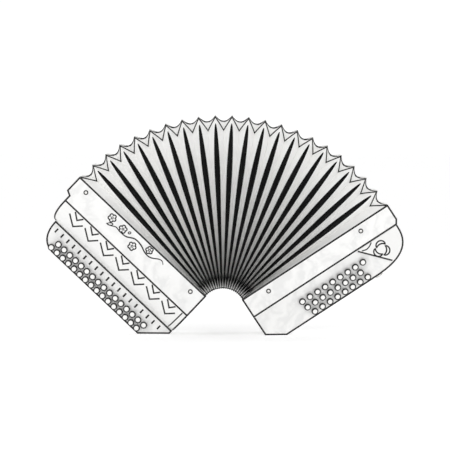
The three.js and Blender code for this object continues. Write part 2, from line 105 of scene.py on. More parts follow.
class Case:
    """One end of the instrument, to put things on: n out from the bellows, y back, z along the case."""

    def __init__(self, angle, side, body):
        self.angle = angle
        self.body = body
        self.out = side * Vector((math.cos(angle), 0, -math.sin(angle)))
        self.up = Vector((math.sin(angle), 0, math.cos(angle)))

    def at(self, n, y, z):
        """The point (n, y, z), all in millimetres."""
        origin = Vector((CENTRE_X, MIDDLE_Y, CENTRE_Z))
        return origin + self.out * n * MM + Vector((0, y * MM, 0)) + self.up * z * MM

    def along(self, n, y, z=0.0):
        """The unit vector with those parts."""
        return (self.out * n + Vector((0, y, 0)) + self.up * z).normalized()


TREBLE = Case(TREBLE_ANGLE, -1, "treble_side")
BASS = Case(BASS_ANGLE, 1, "bass_side")

# Places on the cases, in millimetres, as in the CAD model
CASE_LOW = INNER_RADIUS / MM
CASE_HIGH = OUTER_RADIUS / MM
HALF = HALF_DEPTH / MM
TREBLE_CASE_N = 55
BASS_CASE_N = 43
KEYBOARD_N = 98
TREBLE_CORNER = {"from": 37, "to": 42, "drop": 10}  # how the case's upper outer corner falls
BASS_CORNER = {"from": 34, "to": 43, "drop": 6}
TREBLE_SHOULDERS = ((KEYBOARD_N, 14), (150, 42))  # n where each rounded corner ends, and its height
BASS_SHOULDERS = ((108, 101),)
BASS_REACH = BASS_SHOULDERS[-1][0]
# The shoulders are parts of superellipses: a power of 2 gives an ellipse, and more is squarer
TREBLE_POWER = 2.4
BASS_POWER = 2.8
SHOULDER_STEPS = 14
COVER_START = TREBLE_CASE_N + 0.3  # where the treble cover's curve leaves the case
COVER_STEPS = 10
KEYBOARD_FRONT = -22
KEYBOARD_SLOPE = 0.2
BASS_SLOPE = 0.4
PLATE_RISE = 1.5 * 1.08  # the corner plate's thickness, along y because the cover slopes
KEY_ROWS = {
    "outer": {"n": 142.5, "first": 330.0, "pallet_y": -64},
    "inner": {"n": 128.5, "first": 323.7, "pallet_y": -36},
}
KEY_PITCH = 15.4
KEYS_PER_ROW = 16
AXLE_N, AXLE_Y = 90, -5
BASS_ROWS = {
    "bass_buttons_inner_row": {"n": 66.5, "first": 282, "count": 9},
    "bass_buttons_middle_row": {"n": 81.5, "first": 267, "count": 8},
    "bass_buttons_outer_row": {"n": 96.5, "first": 274.5, "count": 8},
}
BASS_PITCH = 17.6
AIR_Y, AIR_Z, AIR_SEAT = 45, 296, 24.7
PINS = (
    (TREBLE, "treble_pin_upper", 354), (TREBLE, "treble_pin_lower", 73),
    (BASS, "bass_pin_upper", 312), (BASS, "bass_pin_lower", 97),
)
PIN_N = 15


def keyboard_y(n):
    return KEYBOARD_FRONT + (n - KEYBOARD_N) * KEYBOARD_SLOPE


def bass_cover_y(n):
    return -HALF + (n - BASS_CASE_N) * BASS_SLOPE


# -------- mesh building
class Builder:
    """Collects vertices and faces, and makes one mesh object of them."""

    def __init__(self):
        self.points = []
        self.faces = []
        self.slots = []

    def add(self, points, faces, slots):
        start = len(self.points)
        self.points += [tuple(p) for p in points]
        self.faces += [[start + i for i in face] for face in faces]
        self.slots += slots

    def loft(self, loops, ring=False, caps=True, slot=0):
        """Joins loops of points that have the same number of points. A ring joins the last loop to the first.

        slot is the faces' material slot, or a function that gives it for the edge's number round the loop.
        """
        count, rows = len(loops[0]), len(loops)
        faces, slots = [], []
        for i in range(rows if ring else rows - 1):
            low, high = i * count, (i + 1) % rows * count
            for j in range(count):
                k = (j + 1) % count
                faces.append([low + j, low + k, high + k, high + j])
                slots.append(slot(j) if callable(slot) else slot)
        if caps and not ring:
            faces += [list(range(count))[::-1], [(rows - 1) * count + j for j in range(count)]]
            slots += [slot, slot]
        self.add([p for loop in loops for p in loop], faces, slots)

    def make(self, name, materials):
        mesh = bpy.data.meshes.new(name)
        mesh.from_pydata(self.points, [], self.faces)
        for material in materials:
            mesh.materials.append(material)
        mesh.polygons.foreach_set("material_index", self.slots)
        mesh.validate()
        mesh.update()
        piece = bpy.data.objects.new(name, mesh)
        bpy.context.scene.collection.objects.link(piece)
        return face_outwards(piece)


def face_outwards(piece):
    """Turns each face of a closed mesh outwards."""
    work = bmesh.new()
    work.from_mesh(piece.data)
    bmesh.ops.recalc_face_normals(work, faces=work.faces)
    work.to_mesh(piece.data)
    work.free()
    return piece


def soften(piece, width, segments=2, angle=30):
    """Rounds a piece's edges, as a modifier, and keeps its flats flat."""
    piece.data.polygons.foreach_set("use_smooth", [True] * len(piece.data.polygons))
    weld = piece.modifiers.new("weld", "WELD")
    weld.merge_threshold = 0.00001
    dissolve = piece.modifiers.new("dissolve", "DECIMATE")
    dissolve.decimate_type = "DISSOLVE"
    dissolve.angle_limit = math.radians(0.5)
    bevel = piece.modifiers.new("bevel", "BEVEL")
    bevel.width = width
    bevel.segments = segments
    bevel.limit_method = "ANGLE"
    bevel.angle_limit = math.radians(angle)
    normals = piece.modifiers.new("normals", "WEIGHTED_NORMAL")
    normals.weight = 100


def lathe_loops(case_point, axis, across, profile, sides=32):
    """Loops round an axis: profile is a list of (radius, height) in millimetres."""
    other = axis.cross(across)
    loops = []
    for radius, height in profile:
        ring = []
        for i in range(sides):
            turn = 2 * math.pi * i / sides
            reach = (across * math.cos(turn) + other * math.sin(turn)) * radius * MM
            ring.append(case_point + axis * height * MM + reach)
        loops.append(ring)
    return loops


# -------- materials
class Nodes:
    """A node tree in the making."""

    def __init__(self, tree):
        self.tree = tree

    def put(self, node, inputs):
        """Fills a node's inputs: an output is linked to its input, and any other value is set."""
        for name, value in inputs.items():
            if isinstance(value, bpy.types.NodeSocket):
                self.tree.links.new(value, node.inputs[name])
            else:
                node.inputs[name].default_value = value
        return node

    def node(self, kind, inputs=None):
        return self.put(self.tree.nodes.new("ShaderNode" + kind), inputs or {})

    def between(self, value, low, high):
        """A value of 0 to 1, brought to the range from low to high."""
        return self.node("MapRange", {"To Min": low, "To Max": high, "Value": value}).outputs["Result"]

    def maths(self, operation, a, b):
        node = self.node("Math", {0: a, 1: b})
        node.operation = operation
        return node.outputs[0]


class Look(Nodes):
    """A material in the making. Its textures lie in the object's own space, in metres."""

    def __init__(self, name):
        self.material = bpy.data.materials.new(name)
        self.material.use_nodes = True
        super().__init__(self.material.node_tree)
        self.place = self.node("TexCoord").outputs["Object"]

    def shade(self, inputs):
        self.put(self.tree.nodes["Principled BSDF"], inputs)

    def noise(self, scale, detail=4.0, roughness=0.55, distortion=0.0, output="Fac"):
        return self.node("TexNoise", {
            "Scale": scale, "Detail": detail, "Roughness": roughness, "Distortion": distortion,
            "Vector": self.place,
        }).outputs[output]

    def wave(self, vector, direction, scale, distortion, detail):
        node = self.node("TexWave", {
            "Scale": scale, "Distortion": distortion, "Detail": detail, "Vector": vector,
        })
        node.bands_direction = direction
        return node.outputs["Fac"]

    def colour(self, value, *stops):
        """Colours the surface by a value, through stops of (value, colour)."""
        ramp = self.node("ValToRGB", {"Fac": value})
        elements = ramp.color_ramp.elements
        for i, (position, colour) in enumerate(stops):
            element = elements[i] if i < 2 else elements.new(position)
            element.position = position
            element.color = (*colour, 1)
        self.shade({"Base Color": ramp.outputs["Color"]})

    def bump(self, height, strength, distance):
        node = self.node("Bump", {"Strength": strength, "Distance": distance, "Height": height})
        self.shade({"Normal": node.outputs["Normal"]})


def pearl_celluloid():
    """White celluloid with soft pearl flakes under a clear polished surface."""
    look = Look("pearl_celluloid")
    mix = look.node("Mix")
    mix.data_type = "VECTOR"
    look.put(mix, {"Factor": 0.06, "A": look.place, "B": look.noise(18, 3, output="Color")})
    warped = mix.outputs["Result"]
    flakes = look.node("TexVoronoi")
    flakes.feature = "SMOOTH_F1"
    look.put(flakes, {"Scale": 95, "Smoothness": 0.6, "Vector": warped})
    bands = look.wave(warped, "X", 9, 14, 3)
    both = look.maths("MULTIPLY", flakes.outputs["Distance"], bands)
    look.colour(both, (0.0, (0.865, 0.863, 0.853)), (0.55, (0.775, 0.775, 0.768)))
    look.bump(look.noise(60, 2), 0.04, 0.001)
    look.shade({"Roughness": look.between(look.noise(35, 6), 0.16, 0.34)})
    look.shade({"Coat Weight": 0.35, "Coat Roughness": 0.06})
    return look.material


def white_enamel():
    """Baked white enamel on sheet metal: smooth, with the faint ripple of a dipped coat."""
    look = Look("white_enamel")
    tone = look.noise(14, 5)
    look.colour(tone, (0.3, (0.835, 0.833, 0.822)), (0.7, (0.87, 0.868, 0.856)))
    look.bump(look.noise(420, 1), 0.08, 0.0004)
    look.shade({"Roughness": look.between(tone, 0.22, 0.42)})
    return look.material


def black_inlay():
    """Black lacquer rubbed into the engraved lines."""
    look = Look("black_inlay")
    tone = look.noise(160)
    look.colour(tone, (0.3, (0.006, 0.006, 0.007)), (0.75, (0.022, 0.021, 0.02)))
    look.shade({"Roughness": look.between(tone, 0.28, 0.5), "Specular IOR Level": 0.25})
    return look.material


THREAD_SCALE = 380  # of the wave texture: threads about 0.8 mm apart


def woven_cloth(name, dark, light, specular):
    """Bookcloth: fine crossed threads, laid along the pleats by the UV map, which is in metres."""
    look = Look(name)
    uv = look.node("TexCoord").outputs["UV"]
    weave = look.maths("MAXIMUM", *(look.wave(uv, way, THREAD_SCALE, 0.6, 2) for way in ("X", "Y")))
    look.colour(look.maths("MULTIPLY", weave, look.noise(30, 6, 0.65)), (0.2, dark), (0.65, light))
    look.bump(weave, 0.35, 0.0002)
    look.shade({"Roughness": 0.78, "Specular IOR Level": specular})
    return look.material


def white_leather():
    """Thin white gusset leather with a fine pebble grain."""
    look = Look("white_leather")
    grain = look.node("TexVoronoi", {"Scale": 900, "Vector": look.place})
    look.colour(look.noise(25, 5), (0.3, (0.88, 0.877, 0.865)), (0.7, (0.94, 0.938, 0.925)))
    look.bump(grain.outputs["Distance"], 0.3, 0.0003)
    look.shade({"Roughness": 0.55})
    return look.material


def nickel_plate():
    """Nickel whose polish is a little worn."""
    look = Look("nickel_plate")
    wear = look.noise(220, 5)
    look.colour(wear, (0.3, (0.62, 0.61, 0.59)), (0.7, (0.76, 0.755, 0.74)))
    look.shade({"Roughness": look.between(wear, 0.16, 0.36), "Metallic": 1.0})
    return look.material


def button_pearl():
    """Milky pearl, for the domed buttons."""
    look = Look("button_pearl")
    clouds = look.noise(130, 3, distortion=1.6)
    look.colour(clouds, (0.3, (0.85, 0.847, 0.835)), (0.5, (0.92, 0.917, 0.90)), (0.72, (0.88, 0.875, 0.87)))
    look.shade({"Roughness": look.between(clouds, 0.1, 0.24), "Coat Weight": 0.5, "Coat Roughness": 0.04})
    return look.material


def wood(name, dark, light):
    """Planed wood, with its grain in bands across Y."""
    look = Look(name)
    grain = look.wave(look.place, "Y", 40, 5, 3)
    look.colour(grain, (0.2, dark), (0.8, light))
    look.bump(grain, 0.1, 0.0003)
    look.shade({"Roughness": 0.6})
    return look.material


def pale_floor():
    """White paper, lit a little from within so that it fades into the background."""
    look = Look("pale_floor")
    look.colour(look.noise(3), (0.3, (0.95, 0.95, 0.95)), (0.7, (0.965, 0.965, 0.965)))
    look.shade({"Roughness": 0.9, "Emission Color": (1.0, 1.0, 1.0, 1), "Emission Strength": 0.3})
    return look.material


CELLULOID = pearl_celluloid()
ENAMEL = white_enamel()
INLAY = black_inlay()
CLOTH = woven_cloth("bellows_cloth", (0.915, 0.913, 0.9), (0.968, 0.967, 0.96), 0.3)
TAPE = woven_cloth("black_tape", (0.002, 0.002, 0.002), (0.009, 0.009, 0.009), 0.08)
LEATHER = white_leather()
NICKEL = nickel_plate()
PEARL = button_pearl()
BEECH = wood("beech", (0.50, 0.33, 0.19), (0.66, 0.47, 0.29))
SPRUCE = wood("spruce", (0.66, 0.50, 0.30), (0.80, 0.66, 0.45))


# -------- the CAD nodes that stay
def finish_node(name, material, edge=0.0, segments=2):
    """Gives a CAD node its material, and rounds its edges."""
    node = frame["nodes"][name]
    if not node.material_slots:
        node.data.materials.append(None)
    for material_slot in node.material_slots:
        material_slot.link = "OBJECT"
        material_slot.material = material
    if edge:
        soften(node, edge, segments)


for name in ("treble_case", "bass_case"):
    finish_node(name, CELLULOID, 1.6 * MM, 3)
for name in ("treble_back_cover", "bass_cover"):
    finish_node(name, CELLULOID, 1.2 * MM, 3)
finish_node("treble_keyboard", CELLULOID, 0.5 * MM, 2)
finish_node("treble_grille", ENAMEL, 0.9 * MM, 3)
finish_node("bass_corner_plate", ENAMEL, 0.4 * MM, 2)
finish_node("treble_key_axle", NICKEL)
for name in ("treble_bellows_frame", "treble_reed_block", "bass_bellows_frame", "bass_reed_block"):
    finish_node(name, BEECH, 0.5 * MM, 1)
for name in ("treble_deck", "bass_deck"):
    finish_node(name, SPRUCE)


# -------- bellows
EAR_POINTS = 9  # round each gusset
SIDE_STEPS = 6  # along each straight side
FLANK_STEPS = 4  # from a ridge in to a valley
UPPER_SAG = 12 * MM  # how far a gusset's edge hangs below the ridges, at the bellows' upper corners
LOWER_SAG = 3 * MM  # and at its lower ones, where the pleats are nearly closed
GUSSET_MOUTH = 4 * MM  # how much shorter the valley fold is at each end
RIDGE_ROUND = 2 * MM
CLOTH_INSET = 1.2 * MM  # from the outside of the cloth in to its inside
EAR_RISE = 0.6  # how far a ridge's rounded corner reaches towards the sharp one, as a share
EAR_POWER = 0.7  # below 1 the gusset's section is fuller than a sine


def gusset_sag(depth_share, upper):
    return (UPPER_SAG if upper else LOWER_SAG) * (1 - (1 - depth_share) ** 2)


def bellows_outline(depth_share, inset):
    """The bellows' outline as (radius, y), at that share of the way from a ridge (0) to a valley (1)."""
    depth = FOLD_DEPTH * depth_share
    mouth = GUSSET_MOUTH * depth_share + RIDGE_ROUND * (1 - depth_share)
    low, high = INNER_RADIUS + depth + inset, OUTER_RADIUS - depth - inset
    half = HALF_DEPTH - depth - inset
    outline = []
    for corner_radius, corner_y, first_is_side in (
        (high, -half, True), (high, half, False), (low, half, True), (low, -half, False),
    ):
        radius_sign = 1 if corner_radius == high else -1
        y_sign = 1 if corner_y > 0 else -1
        on_face = Vector((corner_radius - radius_sign * mouth, corner_y))
        on_end = Vector((corner_radius, corner_y - y_sign * mouth))
        start, end = (on_face, on_end) if first_is_side else (on_end, on_face)
        outward = Vector((radius_sign, y_sign)).normalized()
        sag = gusset_sag(depth_share, radius_sign > 0)
        rise = (depth - sag) * math.sqrt(2) + mouth / math.sqrt(2) * (1 - depth_share) * EAR_RISE
        for i in range(EAR_POINTS):
            share = i / (EAR_POINTS - 1)
            lift = math.sin(math.pi * share) ** EAR_POWER if 0 < share < 1 else 0.0
            outline.append(start.lerp(end, share) + outward * rise * lift)
    return outline


def with_sides(outline):
    """Adds the points of the straight sides between the corners."""
    points = []
    for corner in range(4):
        ear = outline[corner * EAR_POINTS:(corner + 1) * EAR_POINTS]
        after = outline[((corner + 1) % 4) * EAR_POINTS]
        points += ear
        points += [ear[-1].lerp(after, i / SIDE_STEPS) for i in range(1, SIDE_STEPS)]
    return points


def flank_stations(first_pleat, last_pleat):
    """(pleat position, share of the way in to the valley) from one ridge line to another."""
    stations = []
    for pleat in range(first_pleat, last_pleat):
        for step in range(2 * FLANK_STEPS):
            share = step / FLANK_STEPS
            stations.append((pleat + share / 2, share if share <= 1 else 2 - share))
    return stations + [(last_pleat, 0.0)]


def pleat_to_angle(pleat):
    return TREBLE_ANGLE + pleat * PLEAT_ANGLE


def bend_with(piece):
    """Bakes a bellows piece's placement into its mesh."""
    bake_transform(piece)


def map_cloth(piece):
    """A UV map in metres: along the folds, and across them."""
    layer = piece.data.uv_layers.new(name="cloth")
    for loop in piece.data.loops:
        place = piece.data.vertices[loop.vertex_index].co
        radius = math.hypot(place.x - CENTRE_X, place.z - CENTRE_Z)
        angle = math.atan2(place.x - CENTRE_X, place.z - CENTRE_Z)
        layer.data[loop.index].uv = (radius + place.y, angle * OUTER_RADIUS)


def bellows_cloth(index):
    """Three pleats of cloth over card, with a leather gusset at each corner of each valley."""
    first = index * PLEATS_PER_BEND
    stations = flank_stations(first, first + PLEATS_PER_BEND)
    loops = []
    # one closed ring of loops: out along the outside, back along the inside
    for inset, run in ((0.0, stations), (CLOTH_INSET, stations[::-1])):
        for pleat, share in run:
            angle = pleat_to_angle(pleat)
            loops.append([fan(p.x, angle, p.y) for p in with_sides(bellows_outline(share, inset))])
    cloth = Builder()
    around = EAR_POINTS + SIDE_STEPS - 1
    cloth.loft(loops, ring=True, slot=lambda edge: 1 if edge % around < EAR_POINTS - 1 else 0)
    piece = cloth.make(f"bellows_pleats_{index + 1}", [CLOTH, LEATHER])
    # the gussets are soft, and the folds between them crisp
    piece.data.polygons.foreach_set("use_smooth", [face.material_index == 1 for face in piece.data.polygons])
    map_cloth(piece)
    bend_with(piece)
    if index < len(BENDS) - 1:
        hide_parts(f"bellows_section_{index + 1}")


TAPE_THICK = 0.45 * MM
TAPE_TOP = OUTER_RADIUS - 16 * MM
TAPE_BOTTOM = INNER_RADIUS + 3 * MM
TAPE_POINT = 95 * MM  # the length over which the tape narrows to its pointed upper end
TAPE_STEPS = 26
TAPE_WIDE = 0.47  # how far it reaches from the ridge at its lower end, as a share of the way to the valley
TAPE_NARROWING = 0.02  # and how much less at the upper end
TAPE_POINT_POWER = 0.5
FOOT_SHARE = 0.95  # how much of the flank it covers at its lower corner
LEAST_SHARE = 0.01
SUNK = -0.1 * MM  # the sides of tape and edging go this far into the cloth


def flank_point(ridge, direction, share, radius, face, lift):
    """A point on a pleat's front or back flank, raised off it by lift.

    direction is the flank's side of the ridge, -1 or 1. face is -1 at the front and 1 at the back.
    """
    angle = pleat_to_angle(ridge + direction * share / 2)
    across = radius * PLEAT_ANGLE / 2
    length = math.hypot(across, FOLD_DEPTH)
    place = fan(radius, angle, face * (HALF_DEPTH - FOLD_DEPTH * share))
    sideways = Vector((math.cos(angle), 0, -math.sin(angle))) * direction * FOLD_DEPTH / length
    outwards = Vector((0, face, 0)) * across / length
    return place + (sideways + outwards) * lift


def tape_share(radius):
    """How far the tape reaches from the ridge at that radius, as a share of the way to the valley."""
    wide = TAPE_WIDE - TAPE_NARROWING * (radius - INNER_RADIUS) / CASE_LENGTH
    upper = min(1.0, max(0.0, (TAPE_TOP - radius) / TAPE_POINT)) ** TAPE_POINT_POWER
    # at the lower corner the tape ends where the flank does
    lower = (radius - INNER_RADIUS - RIDGE_ROUND) / (FOLD_DEPTH + GUSSET_MOUTH - RIDGE_ROUND)
    return max(LEAST_SHARE, min(wide * upper, lower * FOOT_SHARE))


def add_tape(tape, ridge, direction, face):
    """Half of a ridge's tape: the half that lies on one flank."""
    loops = []
    for i in range(TAPE_STEPS + 1):
        radius = TAPE_BOTTOM + (TAPE_TOP - TAPE_BOTTOM) * (1 - math.cos(math.pi * i / TAPE_STEPS)) / 2
        share = tape_share(radius)
        loops.append([
            flank_point(ridge, direction, 0.0, radius, face, SUNK),
            flank_point(ridge, direction, 0.0, radius, face, 0.0) + Vector((0, face * TAPE_THICK, 0)),
            flank_point(ridge, direction, share * 0.5, radius, face, TAPE_THICK),
            flank_point(ridge, direction, share, radius, face, TAPE_THICK * 0.6),
            flank_point(ridge, direction, share, radius, face, SUNK),
        ])
    tape.loft(loops)


FOLD_EDGE = 3.4 * MM  # the width of the dark edging along a flank's ends
FOLD_EDGE_STEPS = 5
EDGE_RISE = 0.45 * MM
UPPER_CORD = 1.1 * MM  # the radius of the cord along a gusset's edge
LOWER_CORD = 1.0 * MM
CORD_STEPS = 12
CORD_SECTION = ((0, -1), (0.7, -0.7), (1, 0), (0.7, 0.7), (0, 1), (-0.7, 0.7), (-1, 0), (-0.7, -0.7))


def add_fold_edge(tape, ridge, direction, face, upper):
    """The dark edge where a flank's card ends at a corner: it runs from the ridge down to the valley."""
    loops = []
    for i in range(FOLD_EDGE_STEPS + 1):
        share = i / FOLD_EDGE_STEPS
        depth = FOLD_DEPTH * share + GUSSET_MOUTH * share + RIDGE_ROUND * (1 - share)
        radius = OUTER_RADIUS - depth if upper else INNER_RADIUS + depth
        inwards = -1 if upper else 1
        loops.append([
            flank_point(ridge, direction, share, radius, face, SUNK),
            flank_point(ridge, direction, share, radius, face, EDGE_RISE),
            flank_point(ridge, direction, share, radius + inwards * FOLD_EDGE, face, EDGE_RISE),
            flank_point(ridge, direction, share, radius + inwards * FOLD_EDGE, face, SUNK),
        ])
    tape.loft(loops)


def add_gusset_edge(tape, pleat, face, upper):
    """The dark cord along a gusset's edge, from one ridge to the next."""
    loops = []
    cord = UPPER_CORD if upper else LOWER_CORD
    for i in range(CORD_STEPS + 1):
        share = 1 - abs(1 - 2 * i / CORD_STEPS)
        sag = gusset_sag(share, upper) + cord * (1 - share)
        radius = OUTER_RADIUS - sag if upper else INNER_RADIUS + sag
        angle = pleat_to_angle(pleat + i / CORD_STEPS)
        side = face * (HALF_DEPTH - sag)
        loops.append([fan(radius + a * cord, angle, side + b * cord) for a, b in CORD_SECTION])
    tape.loft(loops)


def bellows_tape(index):
    """The black tape on three pleats' ridges, and the dark edges of their corners."""
    first = index * PLEATS_PER_BEND
    tape = Builder()
    for pleat in range(first, first + PLEATS_PER_BEND):
        for face in (-1, 1):
            for ridge, direction in ((pleat, 1), (pleat + 1, -1)):
                if 0 < ridge < PLEATS:
                    add_tape(tape, ridge, direction, face)
                for upper in (True, False):
                    add_fold_edge(tape, ridge, direction, face, upper)
            for upper in (True, False):
                add_gusset_edge(tape, pleat, face, upper)
    piece = tape.make(f"bellows_tape_{index + 1}", [TAPE])
    map_cloth(piece)
    bend_with(piece)


for bend_index in range(len(BENDS)):
    bellows_cloth(bend_index)
    bellows_tape(bend_index)


# -------- inlaid lines
CURVE_STEPS = 8


def curve_through(points):
    """A smooth line through points in a plane (Catmull-Rom)."""
    knots = [np.array(p, float) for p in points]
    knots = [2 * knots[0] - knots[1], *knots, 2 * knots[-1] - knots[-2]]
    line = []
    for a, b, c, d in zip(knots, knots[1:], knots[2:], knots[3:]):
        for i in range(CURVE_STEPS):
            t = i / CURVE_STEPS
            line.append(0.5 * (2 * b + (c - a) * t + (2 * a - 5 * b + 4 * c - d) * t * t
                               + (3 * b - a - 3 * c + d) * t ** 3))
    return [tuple(p) for p in (*line, knots[-2])]


def stretched(points, step=6.0):
    """The same broken line with no piece longer than `step`, so that it follows a curved surface."""
    line = [points[0]]
    for a, b in zip(points, points[1:]):
        count = max(1, math.ceil(math.dist(a, b) / step))
        a, b = np.array(a), np.array(b)
        line += [tuple(a + (b - a) * i / count) for i in range(1, count + 1)]
    return line


def mitred(points, closed=False):
    """Each point of a broken line, with the vector square to the line there, which is longer at a corner."""
    knots = [np.array(p, float) for p in points]
    pairs = []
    for i, here in enumerate(knots):
        back = here - knots[i - 1] if closed or i else knots[1] - here
        ahead = knots[(i + 1) % len(knots)] - here if closed or i < len(knots) - 1 else back
        back, ahead = back / np.linalg.norm(back), ahead / np.linalg.norm(ahead)
        along = (back + ahead) / np.linalg.norm(back + ahead)
        pairs.append((here, np.array((-along[1], along[0])) / max(0.5, float(along @ ahead))))
    return pairs


LINE_RISE = 0.35 * MM
LINE_SECTION = ((1, -1), (1, 0.6), (0.6, 1), (-0.6, 1), (-1, 0.6), (-1, -1))  # across, and out of the surface


def add_line(work, surface, points, width, closed=False, tips=1.0):
    """A raised line of that width, along points (n, z) in millimetres.

    surface turns (n, z) into a place and a normal. tips is the share of its width that an open line keeps
    at its ends.
    """
    pairs = mitred(points, closed)
    loops = []
    for i, (point, across) in enumerate(pairs):
        share = 1.0 if closed else tips + (1 - tips) * math.sin(math.pi * i / (len(pairs) - 1))
        loop = []
        for side, lift in LINE_SECTION:
            place, normal = surface(*(point + across * side * share * width / 2))
            loop.append(place + normal * lift * LINE_RISE)
        loops.append(loop)
    work.loft(loops, ring=closed)


# in from the edge, out of the face, and along the side next to it, in millimetres
BINDING_SECTION = ((3.1, -0.3, 0), (3.1, 0.2, 0), (2.4, 0.35, 0), (0.2, 0.3, 0),
                   (-0.3, -0.1, 0.4), (-0.3, 0, 2.0), (0.4, 0, 2.0))


def add_binding(work, surface, edge, back=False):
    """A binding that wraps round an edge, which runs anticlockwise round its face in (n, z)."""
    loops = []
    for point, across in mitred(edge):
        loop = []
        for inset, lift, depth in BINDING_SECTION:
            place, normal = surface(*(point + across * inset))
            loop.append(place + normal * lift * MM + Vector((0, -depth if back else depth, 0)) * MM)
        loops.append(loop)
    work.loft(loops)


def moved_in(points, distance):
    return [tuple(point + across * distance) for point, across in mitred(points)]


def front_of(case, y_at, slope=0.0):
    """A surface on a case's front, with its depth given by y_at(n)."""
    def surface(n, z):
        rise = slope(n) if callable(slope) else slope
        return case.at(n, y_at(n), z), case.along(rise, -1)
    return surface


def cover_curve(n):
    """y of the treble cover's curved front at n, along the CAD model's flat steps."""
    turns = [math.pi / 2 * i / COVER_STEPS for i in range(COVER_STEPS + 1)]
    ns = [COVER_START + (KEYBOARD_N - COVER_START) * math.sin(t) for t in turns]
    ys = [KEYBOARD_FRONT - (HALF + KEYBOARD_FRONT) * math.cos(t) for t in turns]
    return float(np.interp(n, ns, ys))


STEEPEST = 0.98  # the share of the way to the keyboard past which the curve's slope grows no more


def cover_slope(n):
    """How far the curved front's normal leans outwards at n."""
    reach = KEYBOARD_N - COVER_START
    share = min(STEEPEST, max(0.0, (n - COVER_START) / reach))
    return (KEYBOARD_FRONT + HALF) / reach * share / math.sqrt(1 - share * share)


TREBLE_FRONT = front_of(TREBLE, lambda n: -HALF)
GRILLE = front_of(TREBLE, cover_curve, cover_slope)
KEYBOARD = front_of(TREBLE, keyboard_y, KEYBOARD_SLOPE)
BASS_FRONT = front_of(BASS, lambda n: -HALF)
BASS_COVER = front_of(BASS, bass_cover_y, BASS_SLOPE)
BASS_PLATE = front_of(BASS, lambda n: bass_cover_y(n) - PLATE_RISE, BASS_SLOPE)


def back_of(case):
    """A surface on a case's flat back."""
    def surface(n, z):
        return case.at(n, HALF, z), Vector((0, 1, 0))
    return surface


def cover_edges(case, case_n, drop, shoulders, power):
    """The edges of a cover's front, as (n, z): its lower end, its cut foot, and each of its shoulders.

    Each shoulder runs from its outer, lower end inwards and up. The last one starts at the cut foot.
    """
    height, tilt, reach = CENTRE_Z / MM, abs(case.angle), shoulders[-1][0]
    foot_start = ((height + CASE_LOW * math.cos(tilt)) / math.sin(tilt), CASE_LOW)
    foot_end = (reach, (reach * math.sin(tilt) - height) / math.cos(tilt))
    corners = []
    near, base = case_n, CASE_HIGH - drop
    for far, rise in shoulders:
        base -= rise
        corner = []
        for i in range(SHOULDER_STEPS + 1):
            turn = math.pi / 2 * i / SHOULDER_STEPS
            corner.append((near + (far - near) * max(0.0, math.cos(turn)) ** (2 / power),
                           base + rise * math.sin(turn) ** (2 / power)))
        corners.append(corner)
        near = far
    corners[-1].insert(0, foot_end)
    return [(case_n + LINE_END, CASE_LOW), foot_start], [foot_start, foot_end], corners


LINE_END = 0.5  # how far lines and bindings stop short of an edge
TREBLE_EDGES = cover_edges(TREBLE, TREBLE_CASE_N, TREBLE_CORNER["drop"], TREBLE_SHOULDERS, TREBLE_POWER)
BASS_EDGES = cover_edges(BASS, BASS_CASE_N, BASS_CORNER["drop"], BASS_SHOULDERS, BASS_POWER)
TREBLE_SHOULDER, TREBLE_SIDE = TREBLE_EDGES[2]


def part_beyond(line, n):
    """The part of a line, in which n falls, that lies beyond that n."""
    ns, zs = zip(*line)
    end = (n, float(np.interp(-n, [-v for v in ns], zs)))
    return [p for p in line if p[0] > n + 0.3] + [end]


SEAM = 3.1  # the width of the black line along a seam
# from a case's inner and outer edge, and from the cut foot, to the middle of the line beside it
INNER_SEAM, OUTER_SEAM, FOOT_SEAM = 1.9, 1.4, 1.6
KEYBOARD_SEAM = 2.2  # from the start of the keyboard
SEAM_STEP = 40


def case_binding(name, case, front, case_n, corner):
    """Black binding round the ends of a case, and a black line along each of its seams."""
    work = Builder()
    low_end = CASE_HIGH - corner["drop"]
    upper = [(case_n, low_end), (corner["from"], CASE_HIGH), (LINE_END, CASE_HIGH)]
    if corner["to"] < case_n:
        upper.insert(1, (corner["to"], low_end))
    for surface, back in ((front, False), (back_of(case), True)):
        add_binding(work, surface, [(LINE_END, CASE_LOW), (case_n, CASE_LOW)], back)
        add_binding(work, surface, upper, back)
        for n, high in ((INNER_SEAM, CASE_HIGH), (case_n - OUTER_SEAM, low_end)):
            add_line(work, surface, [(n, CASE_LOW + LINE_END), (n, high - LINE_END)], SEAM)
    ride_inlay(work, name, case)


def ride_inlay(work, name, case):
    piece = work.make(name, [INLAY])
    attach(piece, case.body)


PETALS = 5
PETAL_NOTCH = 0.68  # the radius between two petals, as a share of the flower's
PETAL_STEPS = 60
OVAL_STEPS = 20


def petals(centre, radius, turn):
    """The outline of a small flower."""
    outline = []
    for i in range(PETAL_STEPS):
        angle = 2 * math.pi * i / PETAL_STEPS
        reach = radius * (PETAL_NOTCH + (1 - PETAL_NOTCH) * abs(math.sin(PETALS * angle / 2)) ** 0.8)
        angle += turn
        outline.append((centre[0] + reach * math.cos(angle), centre[1] + reach * math.sin(angle)))
    return outline


def oval(centre, radius, squeeze=1.0, turn=0.0):
    outline = []
    for i in range(OVAL_STEPS):
        angle = 2 * math.pi * i / OVAL_STEPS
        x, y = radius * math.cos(angle), radius * squeeze * math.sin(angle)
        outline.append((centre[0] + x * math.cos(turn) - y * math.sin(turn),
                        centre[1] + x * math.sin(turn) + y * math.cos(turn)))
    return outline


# A vine with four flowers, a bud and a leaf, engraved on the treble case: points are (n, z)
VINE = [(31, 284.5), (28.5, 274.5), (23.5, 265.5), (24.5, 253.5), (23.5, 238.5), (15, 222.5), (15.5, 205.5),
        (21, 189.5), (20.5, 175.5), (11, 160.5), (10, 153.5), (14, 147.5)]
VINE_WIDTH, VINE_TIPS = 2.7, 0.5
